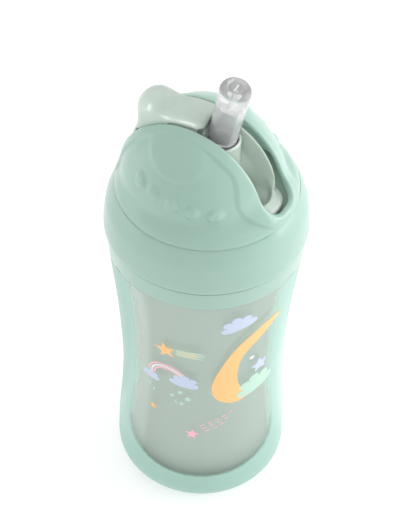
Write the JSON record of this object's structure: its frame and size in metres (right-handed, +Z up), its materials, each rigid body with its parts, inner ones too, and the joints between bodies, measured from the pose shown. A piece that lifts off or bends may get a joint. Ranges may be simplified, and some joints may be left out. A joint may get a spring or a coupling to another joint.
{
  "type": "straw sippy cup",
  "caption": "Waisted double-wall toddler cup with a screw ring, a domed slotted lid, a soft drinking straw and a turning cover that shuts over it.",
  "frame": {"origin": "middle of the cup's flat underside", "axes": "+Z up along the cup's axis; -Y the drinking side, which the straw leans towards; X along the cover's pivot"},
  "size_m": [0.0798, 0.0798, 0.2113],
  "materials": {
    "shell_clear": "clear mint plastic, gloss",
    "cup_pale": "opaque pale grey-green plastic",
    "mint": "opaque mint plastic, soft gloss",
    "cover_pale": "opaque pale mint plastic, soft gloss",
    "silicone_clear": "clear silicone",
    "silicone_white": "white silicone, matte"
  },
  "bodies": {
    "cup": {"outer_shell": "shell_clear", "inner_cup": "cup_pale", "neck_band": "mint"},
    "lid": {"lid_dome": "mint", "straw_seat": "cover_pale", "lid_gasket": "silicone_white", "vent_valve": "silicone_white", "mouthpiece": "silicone_clear", "mouthpiece_base": "silicone_clear", "straw_tube": "silicone_clear"},
    "ring": {"lid_ring": "mint"},
    "cover": {"slider_cover": "cover_pale"}
  },
  "joints": [
    {"name": "lid_lift", "type": "slide", "parent": "cup", "child": "lid", "axis": [0, 0, 1], "range_m": [0, 0.145]},
    {"name": "ring_turn", "type": "hinge", "parent": "lid", "child": "ring", "pos_m": [0, 0, 0.15], "axis": [0, 0, 1], "range_deg": [0, 270]},
    {"name": "cover_turn", "type": "hinge", "parent": "lid", "child": "cover", "pos_m": [0, 0.0025, 0.1592], "axis": [1, 0, 0], "range_deg": [0, 81], "deforming": ["mouthpiece"]}
  ]
}
